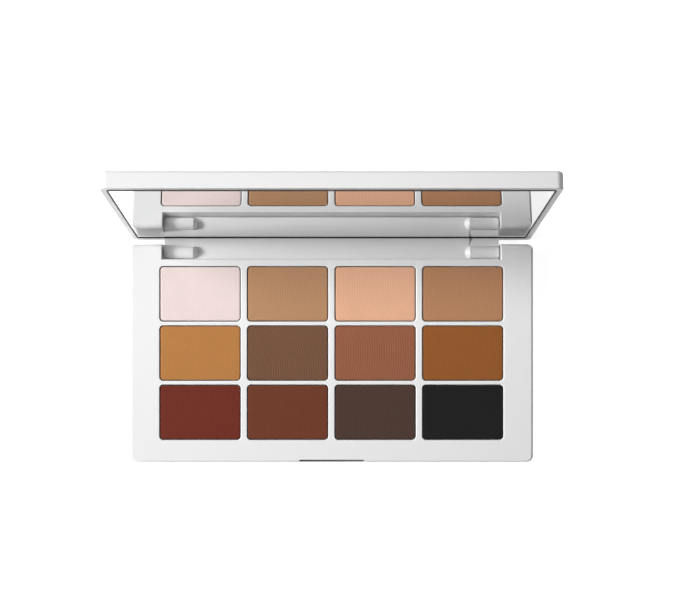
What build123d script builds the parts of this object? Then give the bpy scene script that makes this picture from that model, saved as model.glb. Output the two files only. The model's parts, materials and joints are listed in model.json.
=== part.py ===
"""Twelve-pan eyeshadow palette with a mirror lid on a two-pin hinge.

Millimetres. The origin is the middle of the base's underside, +X is to the right, +Y to the hinge
and +Z up. The lid is modelled open, leaning back past upright.
"""
import os
from math import cos, radians, sin

from build123d import *

# ---------------------------------------------------------------- driving dimensions
# Pans and the wells that they sit in
columns = 4
rows = 3
pan_length = 25.5            # outside, left to right
pan_width = 17.2             # outside, front to back
pan_height = 3.4
pan_wall = 0.3
pan_corner = 1.0             # outside corner radius
pan_fit = 0.3                # gap between a pan and its well, each side
pan_sink = 0.45              # pan rim below the deck
web_x = 2.0                  # plastic between two columns
web_y = 1.2                  # plastic between two rows
pad_thickness = 0.2
pad_margin = 2.5             # pan edge to the edge of its pad
powder_sink = 0.25           # powder below the pan rim

# Base
base_height = 9.0
side_margin = 9.5            # outermost well to the side of the base
front_margin = 7.1           # front well to the front of the base
plan_corner = 2.0            # corner radius seen from above
top_round = 0.8              # rounding of the deck's outer edge
back_round = 2.0             # rounding of the shoulders' back edge, which the lid's rim turns past
notch_edge_round = 0.2
well_edge_round = 0.25
deck_thickness = 1.6
well_wall = 0.8              # outside the outermost wells
well_floor = 0.9
tray_wall = 1.6
tray_floor = 1.4
lip_height = 1.2             # locating lip of the deck inside the tray
lip_thickness = 0.8
assembly_fit = 0.1           # clearance of the lip and the wells inside the tray
post_diameter = 3.0

# Thumb scoop in the front edge
scoop_length = 21.3
scoop_depth = 0.8
scoop_height = 2.2

# Hinge
open_angle = 99.4            # from closed to fully open
hinge_inset = 2.65           # axis to the back of the base
hinge_height = 4.62          # axis above the underside
barrel_radius = 2.1
barrel_length = 9.5
notch_gap_front = 0.25       # barrel to the front wall of the notch
notch_gap_side = 0.3         # hinge bar to each shoulder
notch_wall = 1.2
shoulder_width = 10.2
pin_diameter = 1.5
pin_running_fit = 0.05       # radial, in the lid's barrels
pin_recess = 0.3             # pin head below the side of the base
pin_reach = 8.2              # how far a pin goes into its barrel
pin_end_gap = 0.3            # inner end of a pin to the bottom of its bore
barrel_round = 0.6           # outer end of a barrel
barrel_dome = 1.4            # bulge of a barrel's inner end
barrel_leg_rise = 0.1        # top of a barrel's leg above the axis, lid open
channel_back_rise = 0.65     # back, bottom and front lip of the channel above the axis, lid open
channel_low_rise = 0.06
channel_lip_rise = 0.3
channel_lip_height = 0.2     # straight front of the lip
heel_start = 0.5             # heel's rounding starts this far from the axis, towards the lid
heel_end = 0.3               # and ends this far behind it
heel_radius = 2.5

# Lid
lid_thickness = 5.25
lid_gap = 0.35               # between rim and deck, closed
lid_rim = 1.75               # beside the mirror
lid_rim_front = 2.3          # at the free edge
lid_rim_back = 3.7           # at the hinge
lid_skin = 1.3
lid_round = 1.0              # rounding of the outer edge
rim_round = 0.2
mirror_sink = 0.05           # glass below the rim
mirror_bevel = 0.3           # ground edge of the glass
mirror_fit = 0.15            # joint round the glass
mirror_thickness = 1.8
tape_thickness = 0.2
tape_width = 9.0
tape_margin = 8.0            # glass edge to the tape
carrier_fit = 0.1

# Closing magnets
magnet_length = 10.0
magnet_height = 2.0
magnet_spacing = 76.0
magnet_fit = 0.3

# ---------------------------------------------------------------- derived sizes
well_length = pan_length + 2 * pan_fit
well_width = pan_width + 2 * pan_fit
well_corner = pan_corner + pan_fit
pitch_x = well_length + web_x
pitch_y = well_width + web_y
field_length = columns * well_length + (columns - 1) * web_x
field_width = rows * well_width + (rows - 1) * web_y

notch_depth = hinge_inset + barrel_radius + notch_gap_front
back_margin = notch_depth + notch_wall + assembly_fit + well_wall
palette_width = field_length + 2 * side_margin
palette_depth = front_margin + field_width + back_margin
half_width = palette_width / 2
half_depth = palette_depth / 2
field_y = (front_margin - back_margin) / 2

seam_z = base_height - deck_thickness
pan_bottom_z = base_height - pan_sink - pan_height
pad_bottom_z = pan_bottom_z - pad_thickness
wells_bottom_z = pad_bottom_z - well_floor

notch_width = palette_width - 2 * shoulder_width
bar_length = notch_width - 2 * notch_gap_side
channel_length = bar_length - 2 * barrel_length
bore_depth = pin_reach + pin_end_gap
hinge_y = half_depth - hinge_inset

cavity_front = -half_depth + tray_wall
cavity_back = half_depth - notch_depth - notch_wall
cavity_y = (cavity_front + cavity_back) / 2
cavity_length = palette_width - 2 * tray_wall
cavity_width = cavity_back - cavity_front

# The magnets lie in the strip between the front wells and the lip of the deck
strip_back = field_y - field_width / 2 - well_wall
strip_front = cavity_front + assembly_fit + lip_thickness
magnet_y = (strip_back + strip_front) / 2
magnet_width = strip_back - strip_front - 2 * magnet_fit

# Lid frame: x to the right, y and z as they are with the lid closed, from the hinge axis
lean = radians(open_angle - 90)
outward = (0, cos(lean), -sin(lean))     # from the mirror to the back of the lid
upward = (0, sin(lean), cos(lean))       # from the hinge to the free edge
hinge_point = (0, hinge_y, hinge_height)
lid_frame = Plane(origin=hinge_point, x_dir=(1, 0, 0), z_dir=outward)
section_frame = Plane(origin=hinge_point, x_dir=upward, z_dir=(-1, 0, 0))

rim_z = base_height + lid_gap - hinge_height
cover_z = rim_z + lid_thickness
lid_y = -(half_depth - hinge_inset)
recess_length = palette_width - 2 * lid_rim
recess_width = palette_depth - lid_rim_front - lid_rim_back
recess_y = lid_y - (lid_rim_back - lid_rim_front) / 2
recess_corner = 1.0
glass_length = recess_length - 2 * mirror_fit
glass_width = recess_width - 2 * mirror_fit
glass_z = rim_z + mirror_sink
tape_z = glass_z + mirror_thickness
carrier_z = tape_z + tape_thickness
carrier_thickness = cover_z - lid_skin - carrier_z

# Hinge bar, in the section across it: x towards the free edge, z towards the back of the lid
bar_root = 0.5                           # how far the bar runs into the lid's back wall
root_x = lid_rim_back - hinge_inset
channel_low_z = (rim_z + channel_lip_height - barrel_radius) / 2
dome_radius = (barrel_radius**2 + barrel_dome**2) / (2 * barrel_dome)


def base_outline():
    """Outline of the base from above, with the hinge notch cut in its back edge."""
    with BuildSketch() as outline:
        RectangleRounded(palette_width, palette_depth, plan_corner)
        with Locations((0, half_depth)):
            Rectangle(notch_width, 2 * notch_depth, mode=Mode.SUBTRACT)
    return outline.sketch


def thumb_scoop():
    """Cutter of the thumb scoop, a shallow bite through the deck's front edge with a ledge below."""
    with BuildPart() as cutter:
        with BuildSketch(Plane.XY.offset(base_height - scoop_height)):
            with Locations((0, -half_depth)):
                RectangleRounded(scoop_length, 2 * scoop_depth, 0.9 * scoop_depth)
        extrude(amount=scoop_height + 1)
    return cutter.part


def back_edge():
    """Cutter that rounds the whole back edge of the base."""
    with BuildPart() as cutter:
        with BuildSketch(Plane.YZ):
            with Locations((half_depth, base_height)):
                Rectangle(2 * back_round, 2 * back_round)
            with Locations((half_depth - back_round, base_height - back_round)):
                Circle(back_round, mode=Mode.SUBTRACT)
                Rectangle(2 * back_round, 2 * back_round, align=(Align.MAX, Align.CENTER),
                          mode=Mode.SUBTRACT)
                Rectangle(2 * back_round, 2 * back_round, align=(Align.CENTER, Align.MAX),
                          mode=Mode.SUBTRACT)
        extrude(amount=half_width + 1, both=True)
    return cutter.part


def on_notch(edge):
    """True for an edge that lies along the top of the notch's walls."""
    box = edge.bounding_box()
    along_side = box.size.X < 0.01 and abs(abs(edge.center().X) - notch_width / 2) < 0.01
    along_front = box.size.Y < 0.01 and abs(edge.center().Y - half_depth + notch_depth) < 0.01
    level = box.max.Z > seam_z + 0.01 and edge.center().Y > half_depth - notch_depth - 0.01
    return level and (along_side or along_front)


def rows_and_columns():
    """Number, and place in the plan, of each pan: left to right, from the back row to the front."""
    for row in range(rows):
        for column in range(columns):
            x = (column - (columns - 1) / 2) * pitch_x
            y = field_y + ((rows - 1) / 2 - row) * pitch_y
            yield row * columns + column + 1, x, y


def bar_back():
    """Back of the hinge bar's section, from its root in the lid down and round the heel."""
    Line((-hinge_inset, rim_z + bar_root), (-hinge_inset, heel_start))
    RadiusArc((-hinge_inset, heel_start), (-heel_end, -barrel_radius), -heel_radius)


def save(builder, name):
    builder.part.label = name
    export_step(builder.part, f"parts/{name}.step")


os.makedirs("parts", exist_ok=True)
scoop = thumb_scoop()
back_rounding = back_edge()

# ---------------------------------------------------------------- base
# Tray: floor, walls, support posts and the two solid hinge shoulders
with BuildPart() as base_tray:
    with BuildSketch():
        add(base_outline())
    extrude(amount=seam_z)
    with BuildSketch(Plane.XY.offset(tray_floor)):
        with Locations((0, cavity_y)):
            Rectangle(cavity_length, cavity_width)
    extrude(amount=seam_z - tray_floor, mode=Mode.SUBTRACT)
    with BuildSketch(Plane.XY.offset(tray_floor)):
        with Locations((0, field_y)):
            with GridLocations(pitch_x, pitch_y, columns - 1, rows - 1):
                Circle(post_diameter / 2)
    extrude(amount=wells_bottom_z - tray_floor)
    fillet(base_tray.faces().sort_by(Axis.Z)[0].outer_wire().edges(), 0.4)
    with BuildSketch(section_frame):
        Circle(pin_diameter / 2)
    extrude(amount=half_width + 1, both=True, mode=Mode.SUBTRACT)
    add(scoop, mode=Mode.SUBTRACT)
    add(back_rounding, mode=Mode.SUBTRACT)
save(base_tray, "base_tray")

# Deck: plate with twelve wells hanging below it and a lip that locates it in the tray
with BuildPart() as pan_deck:
    with BuildSketch(Plane.XY.offset(seam_z)):
        RectangleRounded(palette_width, palette_depth, plan_corner)
    extrude(amount=deck_thickness)
    fillet(pan_deck.faces().sort_by(Axis.Z)[-1].outer_wire().edges(), top_round)
    add(back_rounding, mode=Mode.SUBTRACT)
    with BuildSketch(Plane.XY.offset(seam_z)):
        with Locations((0, half_depth)):
            Rectangle(notch_width, 2 * notch_depth)
    extrude(amount=deck_thickness, mode=Mode.SUBTRACT)
    fillet(pan_deck.edges().filter_by(Axis.Z, reverse=True).filter_by(on_notch), notch_edge_round)
    with BuildSketch(Plane.XY.offset(seam_z - lip_height)):
        with Locations((0, cavity_y)):
            Rectangle(cavity_length - 2 * assembly_fit, cavity_width - 2 * assembly_fit)
            Rectangle(cavity_length - 2 * assembly_fit - 2 * lip_thickness,
                      cavity_width - 2 * assembly_fit - 2 * lip_thickness, mode=Mode.SUBTRACT)
    extrude(amount=lip_height)
    with BuildSketch(Plane.XY.offset(wells_bottom_z)):
        with Locations((0, field_y)):
            Rectangle(field_length + 2 * well_wall, field_width + 2 * well_wall)
    extrude(amount=seam_z - wells_bottom_z)
    with BuildSketch(Plane.XY.offset(pad_bottom_z)):
        with Locations((0, field_y)):
            with GridLocations(pitch_x, pitch_y, columns, rows):
                RectangleRounded(well_length, well_width, well_corner)
    extrude(amount=base_height - pad_bottom_z, mode=Mode.SUBTRACT)
    for well in pan_deck.faces().sort_by(Axis.Z)[-1].inner_wires():
        fillet(well.edges(), well_edge_round)
    add(scoop, mode=Mode.SUBTRACT)
save(pan_deck, "pan_deck")

# Twelve pressed metal pans, each with its cake of powder
for number, x, y in rows_and_columns():
    with BuildPart() as pan:
        with BuildSketch(Plane.XY.offset(pan_bottom_z)):
            with Locations((x, y)):
                RectangleRounded(pan_length, pan_width, pan_corner)
        extrude(amount=pan_height)
        with BuildSketch(Plane.XY.offset(pan_bottom_z + pan_wall)):
            with Locations((x, y)):
                RectangleRounded(pan_length - 2 * pan_wall, pan_width - 2 * pan_wall,
                                 pan_corner - pan_wall)
        extrude(amount=pan_height - pan_wall, mode=Mode.SUBTRACT)
    save(pan, f"pan_{number:02d}")

    with BuildPart() as powder:
        with BuildSketch(Plane.XY.offset(pan_bottom_z + pan_wall)):
            with Locations((x, y)):
                RectangleRounded(pan_length - 2 * pan_wall, pan_width - 2 * pan_wall,
                                 pan_corner - pan_wall)
        extrude(amount=pan_height - pan_wall - powder_sink)
    save(powder, f"powder_{number:02d}")

# Adhesive pads, one under each pan
with BuildPart() as pan_adhesive:
    with BuildSketch(Plane.XY.offset(pad_bottom_z)):
        with Locations((0, field_y)):
            with GridLocations(pitch_x, pitch_y, columns, rows):
                Rectangle(pan_length - 2 * pad_margin, pan_width - 2 * pad_margin)
    extrude(amount=pad_thickness)
save(pan_adhesive, "pan_adhesive")

# Two bar magnets bonded under the deck behind its front edge
with BuildPart() as base_magnets:
    with BuildSketch(Plane.XY.offset(seam_z - magnet_height)):
        with Locations((0, magnet_y)):
            with GridLocations(magnet_spacing, 1, 2, 1):
                Rectangle(magnet_length, magnet_width)
    extrude(amount=magnet_height)
save(base_magnets, "base_magnets")

# Two steel pins, pressed in from the sides of the base
pin_inner_x = bar_length / 2 - pin_reach
pin_length = half_width - pin_recess - pin_inner_x
for side, name in ((-1, "hinge_pin_left"), (1, "hinge_pin_right")):
    with BuildPart() as hinge_pin:
        with BuildSketch(Plane(origin=(side * pin_inner_x, hinge_y, hinge_height), z_dir=(side, 0, 0))):
            Circle(pin_diameter / 2)
        extrude(amount=pin_length)
        chamfer(hinge_pin.edges().filter_by(GeomType.CIRCLE), 0.15)
    save(hinge_pin, name)

# ---------------------------------------------------------------- lid
# Cover: shell with a rim, and the hinge bar with a barrel at each end of its hollow channel
with BuildPart() as lid_cover:
    with BuildSketch(lid_frame.offset(rim_z)):
        with Locations((0, lid_y)):
            RectangleRounded(palette_width, palette_depth, plan_corner)
    extrude(amount=lid_thickness)
    fillet(lid_cover.faces().sort_by(Axis((0, 0, 0), outward))[-1].outer_wire().edges(), lid_round)
    with BuildSketch(lid_frame.offset(rim_z)):
        with Locations((0, recess_y)):
            RectangleRounded(recess_length, recess_width, recess_corner)
    extrude(amount=lid_thickness - lid_skin, mode=Mode.SUBTRACT)
    rim_face = lid_cover.faces().sort_by(Axis((0, 0, 0), outward))[0]
    fillet(rim_face.edges(), rim_round)

    # Hinge bar: its back is flush with the base, its heel is round so that it turns in the notch
    with BuildSketch(section_frame):
        with BuildLine():
            bar_back()
            Line((-heel_end, -barrel_radius), (channel_lip_rise, -barrel_radius))
            Line((channel_lip_rise, -barrel_radius), (channel_lip_rise, channel_lip_height - barrel_radius))
            ThreePointArc((channel_lip_rise, channel_lip_height - barrel_radius),
                          (channel_low_rise, channel_low_z), (channel_back_rise, rim_z))
            Line((channel_back_rise, rim_z), (root_x, rim_z))
            Line((root_x, rim_z), (root_x, rim_z + bar_root))
            Line((root_x, rim_z + bar_root), (-hinge_inset, rim_z + bar_root))
        make_face()
    extrude(amount=channel_length / 2, both=True)
    for side in (-1, 1):
        with BuildSketch(section_frame.offset(side * channel_length / 2)):
            with BuildLine():
                bar_back()
                Line((-heel_end, -barrel_radius), (-heel_end, 0))
                Line((-heel_end, 0), (barrel_leg_rise, 0))
                Line((barrel_leg_rise, 0), (barrel_leg_rise, rim_z))
                Line((barrel_leg_rise, rim_z), (root_x, rim_z))
                Line((root_x, rim_z), (root_x, rim_z + bar_root))
                Line((root_x, rim_z + bar_root), (-hinge_inset, rim_z + bar_root))
            make_face()
        extrude(amount=side * barrel_length)
        barrel_frame = Plane(origin=(side * channel_length / 2, hinge_y, hinge_height),
                             x_dir=(side, 0, 0), z_dir=outward)
        with BuildSketch(barrel_frame):
            with BuildLine():
                RadiusArc((-barrel_dome, 0), (0, barrel_radius), dome_radius)
                Line((0, barrel_radius), (barrel_length - barrel_round, barrel_radius))
                RadiusArc((barrel_length - barrel_round, barrel_radius),
                          (barrel_length, barrel_radius - barrel_round), barrel_round)
                Line((barrel_length, barrel_radius - barrel_round), (barrel_length, 0))
                Line((barrel_length, 0), (-barrel_dome, 0))
            make_face()
        revolve(axis=Axis(hinge_point, (1, 0, 0)))
    for side in (-1, 1):
        with BuildSketch(section_frame.offset(side * (bar_length / 2 - bore_depth))):
            Circle(pin_diameter / 2 + pin_running_fit)
        extrude(amount=side * bore_depth, mode=Mode.SUBTRACT)
save(lid_cover, "lid_cover")

# Carrier: flat plate behind the glass, with a slot for each lid magnet
with BuildPart() as mirror_carrier:
    with BuildSketch(lid_frame.offset(carrier_z)):
        with Locations((0, recess_y)):
            RectangleRounded(recess_length - 2 * carrier_fit, recess_width - 2 * carrier_fit,
                             recess_corner - carrier_fit)
        with Locations((0, magnet_y - hinge_y)):
            with GridLocations(magnet_spacing, 1, 2, 1):
                Rectangle(magnet_length, magnet_width, mode=Mode.SUBTRACT)
    extrude(amount=carrier_thickness)
save(mirror_carrier, "mirror_carrier")

with BuildPart() as lid_magnets:
    with BuildSketch(lid_frame.offset(carrier_z)):
        with Locations((0, magnet_y - hinge_y)):
            with GridLocations(magnet_spacing, 1, 2, 1):
                Rectangle(magnet_length, magnet_width)
    extrude(amount=carrier_thickness)
save(lid_magnets, "lid_magnets")

# Two strips of double-sided tape between carrier and glass
with BuildPart() as mirror_tape:
    tape_pitch = glass_width - 2 * tape_margin - tape_width
    with BuildSketch(lid_frame.offset(tape_z)):
        with Locations((0, recess_y)):
            with GridLocations(1, tape_pitch, 1, 2):
                Rectangle(glass_length - 2 * tape_margin, tape_width)
    extrude(amount=tape_thickness)
save(mirror_tape, "mirror_tape")

with BuildPart() as mirror_glass:
    with BuildSketch(lid_frame.offset(glass_z)):
        with Locations((0, recess_y)):
            RectangleRounded(glass_length, glass_width, recess_corner - mirror_fit)
    extrude(amount=mirror_thickness)
    chamfer(mirror_glass.faces().sort_by(Axis((0, 0, 0), outward))[0].edges(), mirror_bevel)
save(mirror_glass, "mirror_glass")
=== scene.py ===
import json
import math
import random

import bmesh
import bpy
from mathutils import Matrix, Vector, noise


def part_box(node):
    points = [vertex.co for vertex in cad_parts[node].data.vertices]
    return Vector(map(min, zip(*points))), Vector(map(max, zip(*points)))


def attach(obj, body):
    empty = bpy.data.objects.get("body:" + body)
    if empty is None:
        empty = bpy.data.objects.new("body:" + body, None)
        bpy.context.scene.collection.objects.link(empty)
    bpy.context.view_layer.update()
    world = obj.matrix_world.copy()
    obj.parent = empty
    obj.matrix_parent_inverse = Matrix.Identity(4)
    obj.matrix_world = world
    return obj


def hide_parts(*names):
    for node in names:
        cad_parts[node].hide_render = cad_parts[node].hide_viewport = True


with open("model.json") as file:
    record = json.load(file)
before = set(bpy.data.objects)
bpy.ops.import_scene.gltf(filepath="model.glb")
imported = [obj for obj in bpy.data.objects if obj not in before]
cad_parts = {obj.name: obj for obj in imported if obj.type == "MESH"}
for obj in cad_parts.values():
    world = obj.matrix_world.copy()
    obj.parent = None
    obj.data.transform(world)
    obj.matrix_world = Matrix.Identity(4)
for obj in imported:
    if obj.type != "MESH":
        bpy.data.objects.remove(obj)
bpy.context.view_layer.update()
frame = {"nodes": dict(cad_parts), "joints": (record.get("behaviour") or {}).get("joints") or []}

scene = bpy.context.scene
cad_nodes = frame["nodes"]

# ------------------------------------------------------------------ camera
# The open palette is seen from straight above its base, at arm's length, so that the lid stands
# almost edge on and its mirror shows the back row of pans.
tray_low, tray_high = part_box("base_tray")
deck_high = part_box("pan_deck")[1]
camera_height = 0.4531
view_middle = 0.01796
overhead_camera = bpy.data.cameras.new("overhead_camera")
overhead_camera.sensor_width = 36.0
overhead_camera.lens = 74.45
overhead_camera.shift_x = 0.0146
camera_stand = bpy.data.objects.new("overhead_camera", overhead_camera)
camera_stand.location = (0.0, tray_high.y - view_middle, deck_high.z + camera_height)
scene.collection.objects.link(camera_stand)
scene.camera = camera_stand
scene.view_settings.view_transform = "Standard"


# ------------------------------------------------------------------ base tray
# Lower half of the base: one injection moulding in white ABS, satin from the tool's fine spark
# finish. Its two solid shoulders hold the hinge pins.
def add_node(material, kind, **settings):
    """New shader node with its sockets and properties set."""
    node = material.node_tree.nodes.new(kind)
    for name, value in settings.items():
        if name[0].isupper():
            node.inputs[name.replace("_", " ")].default_value = value
        else:
            setattr(node, name, value)
    return node


def wire(material, *pairs):
    """Joins outputs to inputs, given in pairs."""
    for source, target in pairs:
        material.node_tree.links.new(source, target)


def new_finish(name, colour, roughness, **sockets):
    """Principled finish; returns the material and its shader."""
    material = bpy.data.materials.new(name)
    material.use_nodes = True
    shader = material.node_tree.nodes["Principled BSDF"]
    shader.inputs["Base Color"].default_value = (*colour, 1.0)
    shader.inputs["Roughness"].default_value = roughness
    for socket, value in sockets.items():
        shader.inputs[socket.replace("_", " ")].default_value = value
    return material, shader


def mottle(material, shader, first, second, scale, low=0.35, high=0.65, detail=4.0):
    """Base colour that drifts between two shades over the surface."""
    place = add_node(material, "ShaderNodeTexCoord")
    cloud = add_node(material, "ShaderNodeTexNoise", Scale=scale, Detail=detail)
    ramp = add_node(material, "ShaderNodeValToRGB")
    ramp.color_ramp.elements[0].position = low
    ramp.color_ramp.elements[1].position = high
    ramp.color_ramp.elements[0].color = (*first, 1.0)
    ramp.color_ramp.elements[1].color = (*second, 1.0)
    wire(material, (place.outputs["Object"], cloud.inputs["Vector"]),
         (cloud.outputs["Fac"], ramp.inputs["Fac"]), (ramp.outputs["Color"], shader.inputs["Base Color"]))
    return place


def vary_roughness(material, shader, place, scale, low, high):
    """Roughness that changes over the surface, as handling and the mould leave it."""
    cloud = add_node(material, "ShaderNodeTexNoise", Scale=scale, Detail=5.0)
    span = add_node(material, "ShaderNodeMapRange")
    span.inputs["From Min"].default_value = 0.3
    span.inputs["From Max"].default_value = 0.7
    span.inputs["To Min"].default_value = low
    span.inputs["To Max"].default_value = high
    wire(material, (place.outputs["Object"], cloud.inputs["Vector"]),
         (cloud.outputs["Fac"], span.inputs["Value"]), (span.outputs["Result"], shader.inputs["Roughness"]))


def emboss(material, shader, height, strength, depth):
    """Relief on the surface, driven by a height output."""
    bump = add_node(material, "ShaderNodeBump", Strength=strength, Distance=depth)
    wire(material, (height, bump.inputs["Height"]), (bump.outputs["Normal"], shader.inputs["Normal"]))


def moulded_white(name, white, gloss, grain):
    """White ABS: faint shade drift, spark-finish grain and a roughness that is not quite even."""
    material, shader = new_finish(name, white, gloss, IOR=1.52)
    shader.inputs["Specular IOR Level"].default_value = 0.5
    warm = tuple(value * 0.992 for value in white)
    place = mottle(material, shader, warm, white, 45.0)
    vary_roughness(material, shader, place, 260.0, gloss - 0.02, gloss + 0.03)
    spark = add_node(material, "ShaderNodeTexNoise", Scale=grain, Detail=3.0, Roughness=0.6)
    wire(material, (place.outputs["Object"], spark.inputs["Vector"]))
    emboss(material, shader, spark.outputs["Fac"], 0.05, 0.00003)
    return material


def dress(node_name, material):
    """Gives a CAD node its finish."""
    mesh = cad_nodes[node_name].data
    mesh.materials.clear()
    mesh.materials.append(material)


tray_white = moulded_white("tray_white", (0.80, 0.80, 0.802), 0.36, 5200.0)
dress("base_tray", tray_white)

# ------------------------------------------------------------------ deck
# Upper half of the base: white ABS plate with twelve wells. The top face is a little glossier
# than the tray, and every well has a small rolled edge.
deck_white = moulded_white("deck_white", (0.81, 0.81, 0.812), 0.32, 6200.0)
dress("pan_deck", deck_white)

# ------------------------------------------------------------------ pans
# Twelve shallow pans drawn from tin-plated steel sheet, bonded into the wells. Only a hair of
# the wall shows, between the cake and the well.
pan_tin, pan_shader = new_finish("drawn_tinplate", (0.62, 0.61, 0.60), 0.34, Metallic=1.0)
pan_place = mottle(pan_tin, pan_shader, (0.56, 0.55, 0.54), (0.68, 0.67, 0.66), 900.0)
vary_roughness(pan_tin, pan_shader, pan_place, 1500.0, 0.26, 0.44)
draw_lines = add_node(pan_tin, "ShaderNodeTexWave", Scale=1400.0, Distortion=2.5, Detail=2.0)
draw_lines.bands_direction = "Z"
wire(pan_tin, (pan_place.outputs["Object"], draw_lines.inputs["Vector"]))
emboss(pan_tin, pan_shader, draw_lines.outputs["Fac"], 0.15, 0.00002)
for number in range(1, 13):
    dress(f"pan_{number:02d}", pan_tin)

# ------------------------------------------------------------------ powder cakes
# Pressed eyeshadow, one cake to a pan. The press tool is faced with fine cloth that leaves close,
# slightly curved lines, and powder rolls over the rim of the pan and crumbles a little there.
# Linear colour of each shade, in the order of the pans
cake_colours = {
    "pink": (0.771, 0.639, 0.618),
    "tan": (0.438, 0.238, 0.124),
    "peach": (0.741, 0.407, 0.261),
    "fawn": (0.436, 0.214, 0.108),
    "ochre": (0.441, 0.190, 0.0543),
    "taupe_brown": (0.163, 0.0762, 0.0413),
    "terracotta": (0.281, 0.0987, 0.0500),
    "caramel": (0.278, 0.0915, 0.0183),
    "brick": (0.145, 0.0220, 0.0114),
    "chestnut": (0.145, 0.0377, 0.0165),
    "dark_taupe": (0.0668, 0.0359, 0.0256),
    "black": (0.0073, 0.0074, 0.0074),
}
# How deeply each cake took the lines of the cloth, against a middling one
line_depths = {
    "pink": 0.5, "tan": 1.5, "peach": 1.25, "fawn": 1.35,
    "ochre": 0.8, "taupe_brown": 2.6, "terracotta": 3.0, "caramel": 1.5,
    "brick": 1.8, "chestnut": 1.0, "dark_taupe": 1.9, "black": 3.0,
}
cake_corner = 0.0010
press_dice = random.Random(12)


def pressed_powder(name, colour, centre, line_depth):
    """Matt pigment with press lines round a far centre, cross weave, grain and slow colour drift."""
    material, shader = new_finish("powder_" + name, colour, 0.92)
    shader.inputs["Specular IOR Level"].default_value = 0.22
    shader.inputs["Sheen Weight"].default_value = 0.08
    shader.inputs["Sheen Roughness"].default_value = 0.5
    place = add_node(material, "ShaderNodeTexCoord")
    shift = add_node(material, "ShaderNodeMapping")
    shift.inputs["Location"].default_value = (-centre[0], -centre[1], 0.0)
    # A wave repeats every 0.314 / scale metres, so the lines are 0.76 mm apart and the weave 0.73 mm
    press = add_node(material, "ShaderNodeTexWave", Scale=413.0, Distortion=0.6, Detail=1.0)
    press.wave_type = "RINGS"
    press.rings_direction = "Z"
    weave = add_node(material, "ShaderNodeTexWave", Scale=430.0, Distortion=0.8, Detail=1.0)
    weave.bands_direction = "Y"
    grain = add_node(material, "ShaderNodeTexNoise", Scale=9000.0, Detail=4.0, Roughness=0.7)
    drift = add_node(material, "ShaderNodeTexNoise", Scale=170.0, Detail=3.0)
    wire(material, (place.outputs["Object"], shift.inputs["Vector"]),
         (shift.outputs["Vector"], press.inputs["Vector"]),
         (place.outputs["Object"], weave.inputs["Vector"]),
         (place.outputs["Object"], grain.inputs["Vector"]),
         (place.outputs["Object"], drift.inputs["Vector"]))
    # Lines, weave and grain together drive both the relief and the shade
    crossed = add_node(material, "ShaderNodeMath", operation="MULTIPLY_ADD")
    crossed.inputs[1].default_value = 0.4
    speckled = add_node(material, "ShaderNodeMath", operation="MULTIPLY_ADD")
    speckled.inputs[1].default_value = 0.9
    wire(material, (weave.outputs["Fac"], crossed.inputs[0]), (press.outputs["Fac"], crossed.inputs[2]),
         (grain.outputs["Fac"], speckled.inputs[0]), (crossed.outputs["Value"], speckled.inputs[2]))
    shades = add_node(material, "ShaderNodeValToRGB")
    shades.color_ramp.elements[0].position = 0.0
    shades.color_ramp.elements[1].position = 1.0
    spread = 0.1 * line_depth
    valley = [value * (1 - spread) for value in colour]
    crest = [min(value * (1 + spread), 0.97) for value in colour]
    shades.color_ramp.elements[0].color = (*valley, 1.0)
    shades.color_ramp.elements[1].color = (*crest, 1.0)
    level = add_node(material, "ShaderNodeMapRange")
    level.inputs["From Min"].default_value = 0.2
    level.inputs["From Max"].default_value = 2.0
    wire(material, (speckled.outputs["Value"], level.inputs["Value"]),
         (level.outputs["Result"], shades.inputs["Fac"]))
    tint = add_node(material, "ShaderNodeMix", data_type="RGBA", blend_type="MULTIPLY")
    tint.inputs["Factor"].default_value = 1.0
    warmth = add_node(material, "ShaderNodeValToRGB")
    warmth.color_ramp.elements[0].position = 0.3
    warmth.color_ramp.elements[1].position = 0.7
    warmth.color_ramp.elements[0].color = (0.96, 0.965, 0.97, 1.0)
    warmth.color_ramp.elements[1].color = (1.0, 1.0, 1.0, 1.0)
    wire(material, (drift.outputs["Fac"], warmth.inputs["Fac"]),
         (shades.outputs["Color"], tint.inputs["A"]), (warmth.outputs["Color"], tint.inputs["B"]),
         (tint.outputs["Result"], shader.inputs["Base Color"]))
    emboss(material, shader, speckled.outputs["Value"], 0.3 * min(line_depth, 1.6), 0.00003)
    return material


def rounded_loop(length, width, corner, inset):
    """Points round a rectangle with rounded corners, the same number at every inset."""
    half_x = length / 2 - inset
    half_y = width / 2 - inset
    radius = max(corner - inset, 0.00012)
    loop = []
    for turn, (sx, sy) in enumerate(((1, 1), (-1, 1), (-1, -1), (1, -1))):
        centre = Vector((sx * (half_x - radius), sy * (half_y - radius)))
        for step in range(7):
            angle = math.radians(90 * turn + 15 * step)
            loop.append(centre + radius * Vector((math.cos(angle), math.sin(angle))))
        nx, ny = ((-1, 1), (-1, -1), (1, -1), (1, 1))[turn]
        following = Vector((nx * (half_x - radius), ny * (half_y - radius)))
        start = loop[-1]
        angle = math.radians(90 * (turn + 1))
        end = following + radius * Vector((math.cos(angle), math.sin(angle)))
        pieces = 26 if turn in (0, 2) else 18
        for step in range(1, pieces):
            loop.append(start.lerp(end, step / pieces))
    return loop


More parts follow.
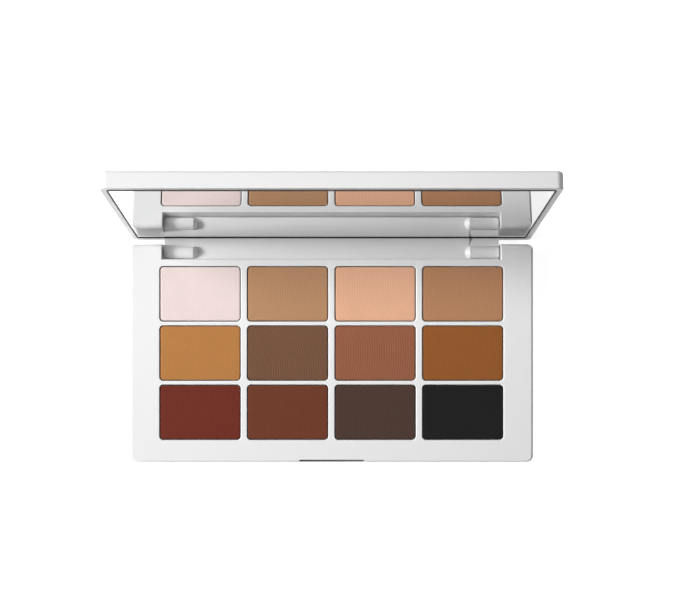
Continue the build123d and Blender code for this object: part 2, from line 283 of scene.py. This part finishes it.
def skin(mesh_name, rings, hoop=False):
    """Mesh through rings of points with the same count; its ends are filled, or joined in a hoop."""
    shape = bmesh.new()
    made = [[shape.verts.new(point) for point in ring] for ring in rings]
    count = len(made[0])
    for lower, upper in zip(made, made[1:] + made[:1] if hoop else made[1:]):
        for here in range(count):
            after = (here + 1) % count
            shape.faces.new((lower[here], lower[after], upper[after], upper[here]))
    if not hoop:
        shape.faces.new(list(reversed(made[0])))
        shape.faces.new(made[-1])
    bmesh.ops.recalc_face_normals(shape, faces=shape.faces)
    mesh = bpy.data.meshes.new(mesh_name)
    shape.to_mesh(mesh)
    shape.free()
    for polygon in mesh.polygons:
        polygon.use_smooth = True
    return mesh


for number, (shade, colour) in enumerate(cake_colours.items(), start=1):
    pan_low, pan_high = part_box(f"pan_{number:02d}")
    middle = (pan_low + pan_high) / 2
    length = pan_high.x - pan_low.x
    width = pan_high.y - pan_low.y
    rim = pan_high.z
    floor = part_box(f"powder_{number:02d}")[0].z
    # (inset from the outside of the pan, height): plug in the pan, lap over its rim, rolled edge, top
    profile = [
        (0.00034, floor + 0.00003), (0.00034, rim + 0.00001), (0.00004, rim + 0.00001),
        (0.00001, rim + 0.00005), (0.00003, rim + 0.00010), (0.00009, rim + 0.00015),
        (0.00019, rim + 0.000185), (0.00033, rim + 0.00020), (0.0008, rim + 0.000203),
        (0.0018, rim + 0.000205), (0.0035, rim + 0.00021), (0.0055, rim + 0.00021), (0.0075, rim + 0.00021),
    ]
    rings = []
    for level_number, (inset, height) in enumerate(profile):
        ring = []
        for spot in rounded_loop(length, width, cake_corner, inset):
            point = Vector((middle.x + spot.x, middle.y + spot.y, height))
            if level_number >= 4:
                crumble = noise.noise(point * 1800.0 + Vector((0, 0, number)))
                dip = 0.00003 if level_number < 7 else 0.000012
                point.z += dip * crumble
                if level_number in (4, 5, 6):
                    inward = Vector((middle.x - point.x, middle.y - point.y, 0)).normalized()
                    point += inward * 0.00004 * max(crumble, -0.3)
            ring.append(point)
        rings.append(ring)
    cake = bpy.data.objects.new(f"powder_cake_{number:02d}", skin(f"powder_cake_{number:02d}", rings))
    scene.collection.objects.link(cake)
    reach = press_dice.uniform(0.024, 0.045) * press_dice.choice((-1, 1))
    bow_centre = (middle.x + reach, middle.y + press_dice.uniform(-0.007, 0.007))
    cake.data.materials.append(pressed_powder(shade, colour, bow_centre, line_depths[shade]))
    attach(cake, "base")
    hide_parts(f"powder_{number:02d}")

# ------------------------------------------------------------------ scoop shade strip
# Dark grey strip on the ledge of the thumb scoop, with a dished top: painted shade, a dark sheet
# standing in for the shadow inside the scoop.
# Painted shade: dark grey finish for the strip that stands in for the shadow in the scoop
scoop_shade_paint, scoop_shade_shader = new_finish("scoop_shade_paint", (0.12, 0.12, 0.122), 0.62)
scoop_shade_place = mottle(scoop_shade_paint, scoop_shade_shader, (0.106, 0.106, 0.108), (0.134, 0.134, 0.136), 900.0)
vary_roughness(scoop_shade_paint, scoop_shade_shader, scoop_shade_place, 700.0, 0.55, 0.7)
scoop_shade_grain = add_node(scoop_shade_paint, "ShaderNodeTexNoise", Scale=6500.0, Detail=3.0)
wire(scoop_shade_paint, (scoop_shade_place.outputs["Object"], scoop_shade_grain.inputs["Vector"]))
emboss(scoop_shade_paint, scoop_shade_shader, scoop_shade_grain.outputs["Fac"], 0.2, 0.00003)
ledge_depth = 0.0008
ledge_height = deck_high.z - 0.0022
strip_length = 0.0208
strip_width = 0.00074
strip_corner = 0.00036
strip_middle = Vector(((tray_low.x + tray_high.x) / 2, tray_low.y + ledge_depth / 2))
# (inset, height above the ledge): foot, wall, rounded shoulder, dished top
strip_section = [(0.00004, 0.0), (0.0, 0.0001), (0.0, 0.00095), (0.00002, 0.00108), (0.00007, 0.00117),
                (0.00013, 0.0012), (0.00018, 0.00117), (0.00022, 0.0011)]
strip_rings = []
for inset, height in strip_section:
    strip_rings.append([Vector((strip_middle.x + spot.x, strip_middle.y + spot.y, ledge_height + height))
                       for spot in rounded_loop(strip_length, strip_width, strip_corner, inset)])
# The strip of painted shade, laid on the ledge of the scoop
scoop_shade_strip = bpy.data.objects.new("scoop_shade_strip", skin("scoop_shade_strip", strip_rings))
scene.collection.objects.link(scoop_shade_strip)
scoop_shade_strip.data.materials.append(scoop_shade_paint)
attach(scoop_shade_strip, "base")

# ------------------------------------------------------------------ adhesive pads and base magnets
# Inside the base, out of sight: a thin foam-tape pad under each pan, and two plated bar magnets
# bonded under the deck.
pad_tape, pad_shader = new_finish("foam_pad", (0.62, 0.60, 0.55), 0.8)
pad_place = mottle(pad_tape, pad_shader, (0.56, 0.54, 0.49), (0.66, 0.64, 0.59), 1500.0)
pad_cells = add_node(pad_tape, "ShaderNodeTexVoronoi", Scale=4000.0)
wire(pad_tape, (pad_place.outputs["Object"], pad_cells.inputs["Vector"]))
emboss(pad_tape, pad_shader, pad_cells.outputs["Distance"], 0.4, 0.00005)
dress("pan_adhesive", pad_tape)

nickel, nickel_shader = new_finish("nickel_plate", (0.62, 0.60, 0.56), 0.28, Metallic=1.0)
nickel_place = mottle(nickel, nickel_shader, (0.58, 0.56, 0.52), (0.66, 0.64, 0.60), 700.0)
vary_roughness(nickel, nickel_shader, nickel_place, 1200.0, 0.2, 0.38)
dress("base_magnets", nickel)
dress("lid_magnets", nickel)

# ------------------------------------------------------------------ hinge pins
# Two drawn steel pins, pressed in from the sides of the base; their turned ends show in the
# side walls.
pin_steel, pin_shader = new_finish("drawn_steel", (0.58, 0.57, 0.56), 0.3, Metallic=1.0)
pin_place = mottle(pin_steel, pin_shader, (0.50, 0.49, 0.48), (0.64, 0.63, 0.62), 2200.0)
vary_roughness(pin_steel, pin_shader, pin_place, 3000.0, 0.22, 0.42)
pin_turning = add_node(pin_steel, "ShaderNodeTexWave", Scale=2600.0, Distortion=1.2, Detail=2.0)
wire(pin_steel, (pin_place.outputs["Object"], pin_turning.inputs["Vector"]))
emboss(pin_steel, pin_shader, pin_turning.outputs["Fac"], 0.2, 0.00001)
dress("hinge_pin_left", pin_steel)
dress("hinge_pin_right", pin_steel)

# ------------------------------------------------------------------ lid cover
# Lid shell with its rim, hinge bar and two barrels, all one moulding in the same white ABS,
# polished a little more than the base.
lid_white = moulded_white("lid_white", (0.81, 0.81, 0.812), 0.30, 5600.0)
dress("lid_cover", lid_white)

# ------------------------------------------------------------------ carrier and tape
# Behind the mirror: a flat grey ABS plate that holds it, and two strips of double-sided tape.
carrier_grey, carrier_shader = new_finish("carrier_grey", (0.30, 0.30, 0.31), 0.5)
carrier_place = mottle(carrier_grey, carrier_shader, (0.27, 0.27, 0.28), (0.33, 0.33, 0.34), 300.0)
carrier_grain = add_node(carrier_grey, "ShaderNodeTexNoise", Scale=4500.0, Detail=3.0)
wire(carrier_grey, (carrier_place.outputs["Object"], carrier_grain.inputs["Vector"]))
emboss(carrier_grey, carrier_shader, carrier_grain.outputs["Fac"], 0.2, 0.00004)
dress("mirror_carrier", carrier_grey)

film_tape, film_shader = new_finish("film_tape", (0.72, 0.71, 0.66), 0.55)
film_place = mottle(film_tape, film_shader, (0.66, 0.65, 0.60), (0.76, 0.75, 0.70), 500.0)
vary_roughness(film_tape, film_shader, film_place, 800.0, 0.45, 0.65)
dress("mirror_tape", film_tape)

# ------------------------------------------------------------------ mirror
# Silvered glass with a ground edge, painted dark so that no light leaks in behind the silver.
# The silver is clean, with the faintest wipe marks.
silver, silver_shader = new_finish("silvered_glass", (0.84, 0.845, 0.845), 0.006, Metallic=1.0)
silver_place = mottle(silver, silver_shader, (0.835, 0.84, 0.84), (0.845, 0.85, 0.85), 25.0)
vary_roughness(silver, silver_shader, silver_place, 60.0, 0.004, 0.012)
edge_paint, edge_shader = new_finish("dark_edge_paint", (0.035, 0.037, 0.038), 0.45)
edge_place = mottle(edge_paint, edge_shader, (0.028, 0.030, 0.031), (0.045, 0.047, 0.048), 1800.0)
vary_roughness(edge_paint, edge_shader, edge_place, 2500.0, 0.38, 0.6)
dress("mirror_glass", silver)
glass = cad_nodes["mirror_glass"].data
glass.materials.append(edge_paint)
lid_hinge = frame["joints"][0]
hinge_point = Vector(lid_hinge["pos_m"])
lean = math.radians(-lid_hinge["range_deg"][0] - 90)
lid_up = Vector((0, math.sin(lean), math.cos(lean)))
lid_back = Vector((0, math.cos(lean), -math.sin(lean)))
for polygon in glass.polygons:
    if abs(polygon.normal.dot(lid_back)) < 0.99:
        polygon.material_index = 1

# ------------------------------------------------------------------ mirror bead
# Thin bead of dark silicone run into the joint round the glass. It fills the groove of the
# ground edge and stands a little proud, with the slight unevenness of a bead laid by machine.
bead_rubber, bead_shader = new_finish("dark_silicone", (0.022, 0.023, 0.024), 0.55)
bead_place = mottle(bead_rubber, bead_shader, (0.018, 0.019, 0.020), (0.028, 0.029, 0.030), 2600.0)
vary_roughness(bead_rubber, bead_shader, bead_place, 1800.0, 0.48, 0.66)
bead_skin = add_node(bead_rubber, "ShaderNodeTexNoise", Scale=7000.0, Detail=2.0)
wire(bead_rubber, (bead_place.outputs["Object"], bead_skin.inputs["Vector"]))
emboss(bead_rubber, bead_shader, bead_skin.outputs["Fac"], 0.2, 0.00002)
glass_points = [vertex.co - hinge_point for vertex in glass.vertices]
glass_front = min(point.dot(lid_back) for point in glass_points)
glass_reach = [point.dot(lid_up) for point in glass_points]
glass_sides = [point.x for point in glass_points]
glass_middle = (min(glass_reach) + max(glass_reach)) / 2
glass_length = max(glass_sides) - min(glass_sides)
glass_width = max(glass_reach) - min(glass_reach)
glass_corner = 0.00085
# (inset from the edge of the glass, distance behind its face) in millimetres
bead_section = [(0.27, 0.0), (0.245, -0.15), (0.16, -0.25), (0.05, -0.28), (-0.06, -0.25),
                (-0.12, -0.15), (-0.14, 0.0), (-0.14, 0.26)]
bead_rings = []
for inset, behind in bead_section:
    ring = []
    for spot in rounded_loop(glass_length, glass_width, glass_corner, inset * 0.001):
        point = hinge_point + Vector((spot.x, 0, 0)) + lid_up * (glass_middle + spot.y)
        point += lid_back * (glass_front + behind * 0.001)
        if behind < -0.01:
            point += lid_back * 0.00002 * noise.noise(point * 300.0)
        ring.append(point)
    bead_rings.append(ring)
mirror_bead = bpy.data.objects.new("mirror_bead", skin("mirror_bead", bead_rings, hoop=True))
scene.collection.objects.link(mirror_bead)
mirror_bead.data.materials.append(bead_rubber)
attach(mirror_bead, "lid")

# ------------------------------------------------------------------ table
# The palette lies on a plain white sweep, a round table whose far edge curves up all round into a
# pale wall, so that there is a light ground behind the palette from every side.
# (radius, height) from the middle of the table to the top of the wall, in metres
sweep_profile = [(0.02, 0.0), (0.6, 0.0), (2.6, 0.0), (3.0, 0.05), (3.3, 0.18), (3.55, 0.4), (3.75, 0.75),
                 (3.87, 1.2), (3.93, 1.8), (3.95, 3.2)]
sweep_shape = bmesh.new()
sweep_rings = []
for radius, height in sweep_profile:
    sweep_rings.append([sweep_shape.verts.new((radius * math.cos(math.radians(5 * step)),
                                               radius * math.sin(math.radians(5 * step)), height))
                        for step in range(72)])
sweep_shape.faces.new(sweep_rings[0])
for inner, outer in zip(sweep_rings, sweep_rings[1:]):
    for step in range(72):
        sweep_shape.faces.new((inner[step - 1], outer[step - 1], outer[step], inner[step]))
table_mesh = bpy.data.meshes.new("white_table")
sweep_shape.to_mesh(table_mesh)
sweep_shape.free()
white_table = bpy.data.objects.new("white_table", table_mesh)
scene.collection.objects.link(white_table)
for surface, glow in (("table_white", 0.85), ("wall_white", 0.4)):
    table_white, table_shader = new_finish(surface, (0.9, 0.9, 0.9), 0.8)
    mottle(table_white, table_shader, (0.88, 0.88, 0.88), (0.9, 0.9, 0.9), 3.0)
    table_shader.inputs["Emission Color"].default_value = (1.0, 1.0, 1.0, 1.0)
    table_shader.inputs["Emission Strength"].default_value = glow
    table_mesh.materials.append(table_white)
for polygon in table_mesh.polygons:
    polygon.use_smooth = True
    polygon.material_index = 0 if polygon.center.z < 0.02 else 1
white_table.visible_diffuse = False


# ------------------------------------------------------------------ light
# The main soft box stands low on the left, a little behind the lid, with a weaker one beside it.
# Two more behind the lid soften its shade, and two weak low ones fill the front and the right.
def soft_box(name, place, aim, size, power):
    """Soft light turned to its aim; its place and size are in metres, its power in watts."""
    lamp = bpy.data.lights.new(name, "AREA")
    lamp.shape = "RECTANGLE"
    lamp.size = size[0]
    lamp.size_y = size[1]
    lamp.energy = power
    box = bpy.data.objects.new(name, lamp)
    box.location = place
    box.rotation_mode = "QUATERNION"
    box.rotation_quaternion = (Vector(aim) - Vector(place)).to_track_quat("-Z", "Y")
    scene.collection.objects.link(box)


soft_box("left_soft_box", (-0.970, 0.102, 0.529), (0, 0, 0.01), (0.26, 0.26), 11.1)
soft_box("left_front_soft_box", (-0.966, -0.135, 0.529), (0, 0, 0.01), (0.26, 0.26), 3.0)
soft_box("back_left_soft_box", (-0.640, 0.369, 0.831), (0, 0, 0.01), (0.26, 0.26), 4.6)
soft_box("back_soft_box", (0.0, 0.3, 0.85), (0, 0, 0.01), (0.3, 0.3), 0.9)
soft_box("right_fill_box", (1.09, 0.12, 0.13), (0, 0, 0.01), (0.2, 0.2), 0.9)
soft_box("front_fill_box", (-0.332, -1.023, 0.239), (0, 0, 0.01), (0.4, 0.4), 2.4)
room = bpy.data.worlds.new("dim_room")
room.use_nodes = True
room.node_tree.nodes["Background"].inputs["Color"].default_value = (1.0, 1.0, 1.0, 1.0)
room.node_tree.nodes["Background"].inputs["Strength"].default_value = 0.03
scene.world = room
